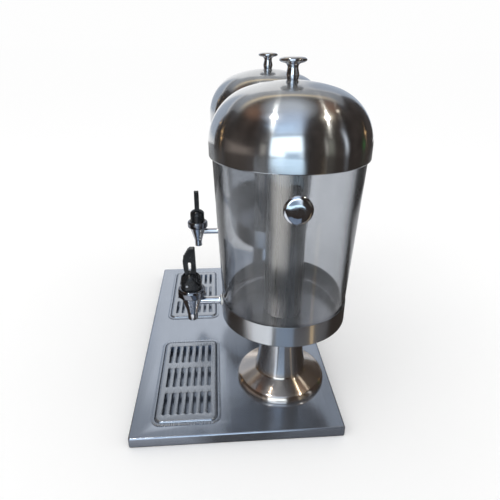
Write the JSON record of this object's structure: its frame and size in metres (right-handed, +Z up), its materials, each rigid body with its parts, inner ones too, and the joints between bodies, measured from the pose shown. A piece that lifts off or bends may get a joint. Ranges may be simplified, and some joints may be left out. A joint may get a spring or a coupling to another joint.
{
  "type": "juice dispenser",
  "caption": "Free-standing juice dispenser: clear tanks with steel domed lids and ice tubes on trumpet pedestals, lever taps and drip trays on a folded steel base.",
  "frame": {"origin": "middle of the whole object's footprint box, on the surface that the feet stand on", "axes": "+X along the base from the left head to the right one, -Y towards the taps, +Z up"},
  "size_m": [0.5972, 0.3795, 0.5688],
  "materials": {
    "base_steel": "satin",
    "brushed_steel": "brushed",
    "polished_steel": "mirror polished",
    "chrome": "polished",
    "clear_plastic": "clear, slightly hazy",
    "black_plastic": "gloss",
    "rubber": "matte",
    "silicone": "satin",
    "fastener": "plain"
  },
  "bodies": {
    "base": {"base_plate": "base_steel", "base_cover": "base_steel", "base_posts": "fastener", "base_feet": "rubber", "foot_screws": "fastener", "left_pedestal": "polished_steel", "left_pedestal_bolts": "fastener", "right_pedestal": "polished_steel", "right_pedestal_bolts": "fastener"},
    "left_tank_unit": {"left_tank_pan": "brushed_steel", "left_pan_collar": "brushed_steel", "left_pan_bolt": "fastener", "left_tank": "clear_plastic", "left_side_knobs": "chrome", "left_side_knob_screws": "fastener", "left_wall_washers": "silicone", "left_tap_nut": "chrome", "left_tap_body": "chrome", "left_tap_collar": "chrome", "left_tap_gland": "silicone", "left_tap_spring": "fastener"},
    "left_tube_unit": {"left_ice_tube": "brushed_steel"},
    "left_lid_unit": {"left_lid": "polished_steel", "left_lid_ring": "silicone", "left_lid_knob": "chrome", "left_lid_knob_screw": "fastener"},
    "left_hood_unit": {"left_tap_hood": "black_plastic", "left_tap_pivot_pin": "fastener"},
    "left_lever_unit": {"left_tap_lever": "black_plastic", "left_tap_lift_pin": "fastener"},
    "left_valve_unit": {"left_tap_stem": "fastener", "left_tap_valve_plug": "silicone"},
    "left_drip_pan_unit": {"left_drip_pan": "brushed_steel"},
    "left_grille_unit": {"left_grille": "brushed_steel"},
    "right_tank_unit": {"right_tank_pan": "brushed_steel", "right_pan_collar": "brushed_steel", "right_pan_bolt": "fastener", "right_tank": "clear_plastic", "right_side_knobs": "chrome", "right_side_knob_screws": "fastener", "right_wall_washers": "silicone", "right_tap_nut": "chrome", "right_tap_body": "chrome", "right_tap_collar": "chrome", "right_tap_gland": "silicone", "right_tap_spring": "fastener"},
    "right_tube_unit": {"right_ice_tube": "brushed_steel"},
    "right_lid_unit": {"right_lid": "polished_steel", "right_lid_ring": "silicone", "right_lid_knob": "chrome", "right_lid_knob_screw": "fastener"},
    "right_hood_unit": {"right_tap_hood": "black_plastic", "right_tap_pivot_pin": "fastener"},
    "right_lever_unit": {"right_tap_lever": "black_plastic", "right_tap_lift_pin": "fastener"},
    "right_valve_unit": {"right_tap_stem": "fastener", "right_tap_valve_plug": "silicone"},
    "right_drip_pan_unit": {"right_drip_pan": "brushed_steel"},
    "right_grille_unit": {"right_grille": "brushed_steel"}
  },
  "joints": [
    {"name": "left_tank_lift", "type": "slide", "parent": "base", "child": "left_tank_unit", "axis": [0, 0, 1], "range_m": [0, 0.12]},
    {"name": "left_tube_lift", "type": "slide", "parent": "left_tank_unit", "child": "left_tube_unit", "axis": [0, 0, 1], "range_m": [0, 0.3]},
    {"name": "left_lid_lift", "type": "slide", "parent": "left_tube_unit", "child": "left_lid_unit", "axis": [0, 0, 1], "range_m": [0, 0.15]},
    {"name": "left_drip_pan_lift", "type": "slide", "parent": "base", "child": "left_drip_pan_unit", "axis": [0, 0, 1], "range_m": [0, 0.05]},
    {"name": "left_grille_lift", "type": "slide", "parent": "left_drip_pan_unit", "child": "left_grille_unit", "axis": [0, 0, 1], "range_m": [0, 0.05]},
    {"name": "left_tap_swivel", "type": "hinge", "parent": "left_tank_unit", "child": "left_hood_unit", "pos_m": [-0.154, -0.08575, 0.2], "axis": [0, 0, 1], "continuous": true},
    {"name": "left_lever_tilt", "type": "hinge", "parent": "left_hood_unit", "child": "left_lever_unit", "pos_m": [-0.1603, -0.08575, 0.222], "axis": [0, -1, 0], "range_deg": [0, 36], "stiffness_Nm_per_rad": 0.08, "springref_deg": -45.84},
    {"name": "left_valve_lift", "type": "slide", "parent": "left_hood_unit", "child": "left_valve_unit", "axis": [0, 0, 1], "range_m": [0, 0.00378], "deforming": ["left_tap_spring"]},
    {"name": "right_tank_lift", "type": "slide", "parent": "base", "child": "right_tank_unit", "axis": [0, 0, 1], "range_m": [0, 0.12]},
    {"name": "right_tube_lift", "type": "slide", "parent": "right_tank_unit", "child": "right_tube_unit", "axis": [0, 0, 1], "range_m": [0, 0.3]},
    {"name": "right_lid_lift", "type": "slide", "parent": "right_tube_unit", "child": "right_lid_unit", "axis": [0, 0, 1], "range_m": [0, 0.15]},
    {"name": "right_drip_pan_lift", "type": "slide", "parent": "base", "child": "right_drip_pan_unit", "axis": [0, 0, 1], "range_m": [0, 0.05]},
    {"name": "right_grille_lift", "type": "slide", "parent": "right_drip_pan_unit", "child": "right_grille_unit", "axis": [0, 0, 1], "range_m": [0, 0.05]},
    {"name": "right_tap_swivel", "type": "hinge", "parent": "right_tank_unit", "child": "right_hood_unit", "pos_m": [0.154, -0.08575, 0.2], "axis": [0, 0, 1], "continuous": true},
    {"name": "right_lever_tilt", "type": "hinge", "parent": "right_hood_unit", "child": "right_lever_unit", "pos_m": [0.154, -0.09205, 0.222], "axis": [1, 0, 0], "range_deg": [0, 36], "stiffness_Nm_per_rad": 0.08, "springref_deg": -45.84},
    {"name": "right_valve_lift", "type": "slide", "parent": "right_hood_unit", "child": "right_valve_unit", "axis": [0, 0, 1], "range_m": [0, 0.00378], "deforming": ["right_tap_spring"]}
  ],
  "couplings": [
    {"joint": "left_lever_tilt", "follows": "left_valve_lift", "rad_per_m": 161.39},
    {"joint": "right_lever_tilt", "follows": "right_valve_lift", "rad_per_m": 161.39}
  ]
}
